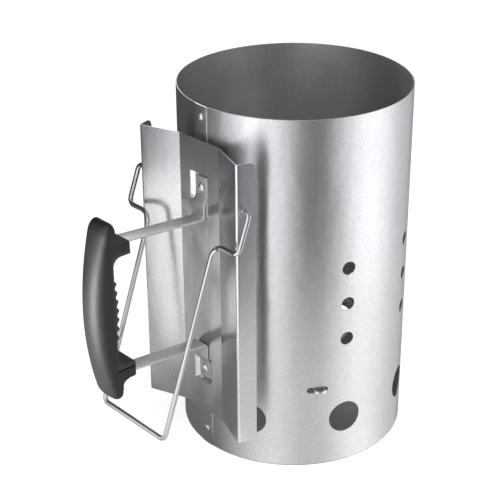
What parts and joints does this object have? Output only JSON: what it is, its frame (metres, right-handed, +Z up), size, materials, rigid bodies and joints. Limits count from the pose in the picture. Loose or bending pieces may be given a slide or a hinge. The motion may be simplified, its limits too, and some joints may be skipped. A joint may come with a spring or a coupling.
{
  "type": "chimney charcoal starter",
  "caption": "Chimney charcoal starter: a vented sheet-metal drum with a wire grate inside, a folded heat shield, a plastic handle on steel straps and a swinging wire bail.",
  "frame": {"origin": "middle of the whole part's footprint, on the surface that it stands on", "axes": "+Z up along the drum's axis, +X from the drum to the handle, +Y across the handle's plane"},
  "size_m": [0.313, 0.19, 0.305],
  "materials": {
    "galvanised_sheet": "satin",
    "strap_steel": "satin",
    "rivet_metal": "satin",
    "handle_plastic": "matte",
    "grip_plastic": "matte",
    "screw_steel": "satin",
    "bright_wire": "polished",
    "grate_wire": "satin"
  },
  "bodies": {
    "starter": {"drum": "galvanised_sheet", "heat_shield": "galvanised_sheet", "upper_strap": "strap_steel", "lower_strap": "strap_steel", "upper_strap_rivet": "rivet_metal", "lower_strap_rivet": "rivet_metal", "seam_rivet_top": "rivet_metal", "seam_rivet_bottom": "rivet_metal", "handle_body": "handle_plastic", "handle_grip": "grip_plastic", "upper_handle_screw": "screw_steel", "lower_handle_screw": "screw_steel", "grate_hairpin_1": "grate_wire", "grate_hairpin_2": "grate_wire", "grate_hairpin_3": "grate_wire", "grate_spoke_1": "grate_wire", "grate_spoke_2": "grate_wire", "grate_spoke_3": "grate_wire", "grate_ring_1": "grate_wire", "grate_ring_2": "grate_wire", "grate_ring_3": "grate_wire", "grate_ring_4": "grate_wire", "grate_ring_5": "grate_wire"},
    "bail_wire": {"bail": "bright_wire"}
  },
  "joints": [
    {"name": "bail_swing", "type": "hinge", "parent": "starter", "child": "bail_wire", "pos_m": [0.0521, 0, 0.242], "axis": [0, -1, 0], "range_deg": [0, 142]}
  ]
}
